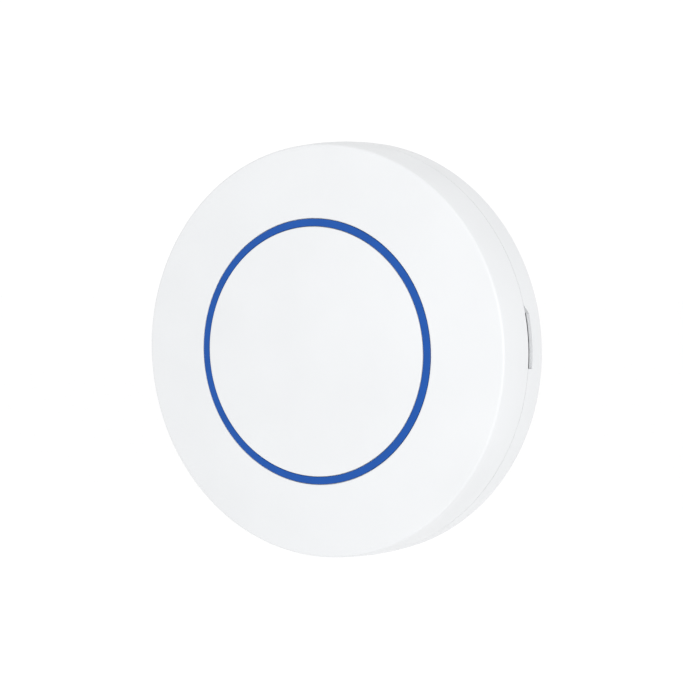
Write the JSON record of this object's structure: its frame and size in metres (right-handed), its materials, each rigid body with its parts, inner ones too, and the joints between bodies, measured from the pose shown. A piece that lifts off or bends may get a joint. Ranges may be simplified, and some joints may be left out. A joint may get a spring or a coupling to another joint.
{
  "type": "ceiling access point",
  "caption": "Round flat white ceiling access point with a blue light ring, twist-on mounting bracket, removable front cover, boards, antennas and network jacks inside.",
  "frame": {"origin": "centre of the mounting bracket's back face, on the ceiling or wall plane", "axes": "+Y into the ceiling or wall; the round face points along -Y; +Z is the top edge as it hangs on a wall; +X to the right seen from the front"},
  "size_m": [0.1878, 0.0362, 0.1878],
  "materials": {
    "shell_white": "fine moulded texture, satin",
    "bracket_plastic": "light grey moulded plastic",
    "light_blue": "translucent blue, satin",
    "clear_guide": "clear acrylic",
    "inner_white": "plain moulded plastic",
    "label": "blank satin film",
    "cast_aluminium": "die cast, lightly blasted",
    "board_green": "solder mask over laminate",
    "chip_black": "moulded epoxy",
    "pad_blue": "soft silicone",
    "tin_sheet": "tin-plated sheet",
    "steel_screw": "zinc-plated",
    "ferrite": "sintered ferrite",
    "winding": "polyester tape over copper",
    "capacitor": "drawn aluminium can",
    "passive": "chip parts",
    "led": "white body, yellow lens",
    "gold": "gold-plated spring wire",
    "coax": "fluoropolymer jacket",
    "switch": "moulded switch body",
    "plunger": "natural acetal"
  },
  "bodies": {
    "bracket": {"mounting_bracket": "bracket_plastic"},
    "housing": {"rear_base": "shell_white", "rating_label": "label", "heat_spreader": "cast_aluminium", "spreader_screws": "steel_screw", "main_board": "board_green", "board_screws": "steel_screw", "memory_chips": "chip_black", "thermal_pads": "pad_blue", "processor_shield": "tin_sheet", "low_band_shield": "tin_sheet", "high_band_shield": "tin_sheet", "transformer_core": "ferrite", "transformer_winding": "winding", "power_inductor": "ferrite", "bulk_capacitors": "capacitor", "lan_magnetics": "chip_black", "board_passives": "passive", "status_leds": "led", "jack_primary": "tin_sheet", "jack_secondary": "tin_sheet", "jack_contacts_primary": "gold", "jack_contacts_secondary": "gold", "coax_sockets": "gold", "coax_plugs": "tin_sheet", "reset_switch": "switch", "processor_chip": "chip_black", "low_band_radio_chip": "chip_black", "high_band_radio_chip": "chip_black", "antenna_1": "tin_sheet", "antenna_lead_1": "coax", "antenna_2": "tin_sheet", "antenna_lead_2": "coax", "antenna_3": "tin_sheet", "antenna_lead_3": "coax", "antenna_4": "tin_sheet", "antenna_lead_4": "coax"},
    "cover": {"front_cover": "shell_white", "light_ring": "light_blue", "light_guide": "clear_guide", "guide_retainer": "inner_white", "retainer_screws": "steel_screw"},
    "reset_plunger": {"reset_button": "plunger"}
  },
  "joints": [
    {"name": "mount_twist", "type": "hinge", "parent": "bracket", "child": "housing", "pos_m": [0, 0, 0], "axis": [0, -1, 0], "range_deg": [0, 15]},
    {"name": "cover_release", "type": "slide", "parent": "housing", "child": "cover", "axis": [0, -1, 0], "range_m": [0, 0.05]},
    {"name": "reset_press", "type": "slide", "parent": "housing", "child": "reset_plunger", "axis": [0, -1, 0], "range_m": [0, 0.0005], "stiffness_N_per_m": 1500}
  ]
}
